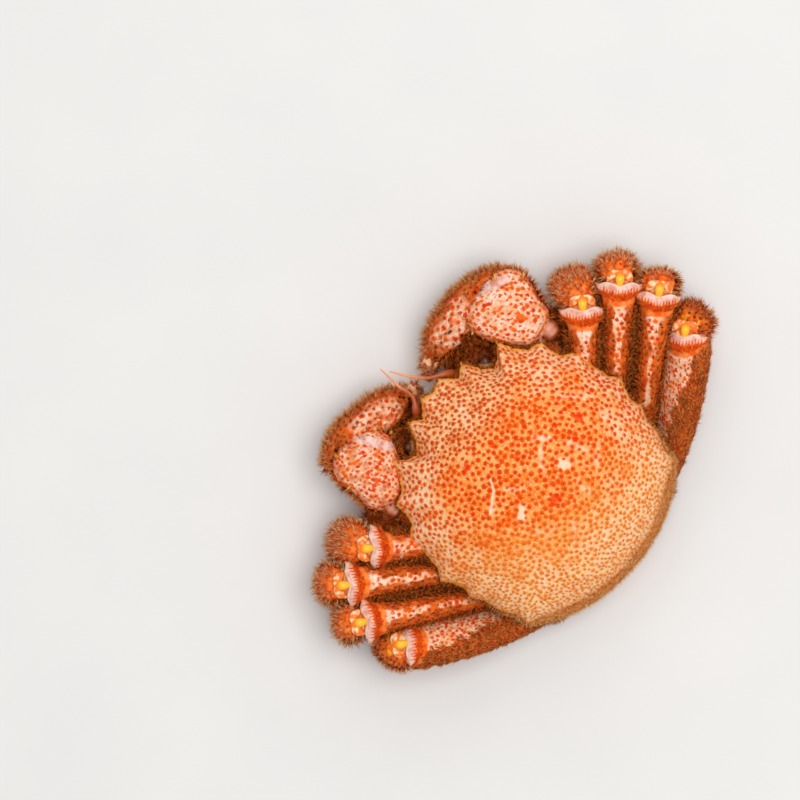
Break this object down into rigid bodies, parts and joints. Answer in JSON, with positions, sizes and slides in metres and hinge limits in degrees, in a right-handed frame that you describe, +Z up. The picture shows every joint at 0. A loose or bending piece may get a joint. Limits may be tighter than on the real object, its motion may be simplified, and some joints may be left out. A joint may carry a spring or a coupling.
{
  "type": "boiled hair crab",
  "caption": "Whole boiled hair crab lying on its belly: a domed toothed shell, folded walking legs, and pincers tucked in front of the mouth.",
  "frame": {"origin": "on the ground under the middle of the shell, on the flat underside of the folded tail flap that the crab rests on", "axes": "+Z up through the back, -Y towards the head, +X towards the crab's left"},
  "size_m": [0.1969, 0.1277, 0.0583],
  "materials": {
    "shell": "satin boiled shell",
    "hairy_shell": "bristly boiled shell",
    "pale_joint": "smooth boiled joint skin",
    "eye": "wet gloss"
  },
  "bodies": {
    "root": {"carapace": "shell", "trunk": "hairy_shell", "tail_flap": "pale_joint", "antenna_left": "pale_joint", "antenna_right": "pale_joint", "eye_left": "eye", "eye_right": "eye", "mouthpart_left": "hairy_shell", "mouthpart_right": "hairy_shell", "claw_left_arm": "hairy_shell", "claw_left_wrist": "shell", "claw_left_palm": "hairy_shell", "claw_left_finger": "shell", "claw_right_arm": "hairy_shell", "claw_right_wrist": "shell", "claw_right_palm": "hairy_shell", "claw_right_finger": "shell", "leg_left_1_merus": "shell", "leg_left_1_carpus": "hairy_shell", "leg_left_1_propodus": "hairy_shell", "leg_left_1_dactylus": "shell", "leg_left_2_merus": "shell", "leg_left_2_carpus": "hairy_shell", "leg_left_2_propodus": "hairy_shell", "leg_left_2_dactylus": "shell", "leg_left_3_merus": "shell", "leg_left_3_carpus": "hairy_shell", "leg_left_3_propodus": "hairy_shell", "leg_left_3_dactylus": "shell", "leg_left_4_merus": "shell", "leg_left_4_carpus": "hairy_shell", "leg_left_4_propodus": "hairy_shell", "leg_left_4_dactylus": "shell", "leg_right_1_merus": "shell", "leg_right_1_carpus": "hairy_shell", "leg_right_1_propodus": "hairy_shell", "leg_right_1_dactylus": "shell", "leg_right_2_merus": "shell", "leg_right_2_carpus": "hairy_shell", "leg_right_2_propodus": "hairy_shell", "leg_right_2_dactylus": "shell", "leg_right_3_merus": "shell", "leg_right_3_carpus": "hairy_shell", "leg_right_3_propodus": "hairy_shell", "leg_right_3_dactylus": "shell", "leg_right_4_merus": "shell", "leg_right_4_carpus": "hairy_shell", "leg_right_4_propodus": "hairy_shell", "leg_right_4_dactylus": "shell"}
  },
  "joints": []
}
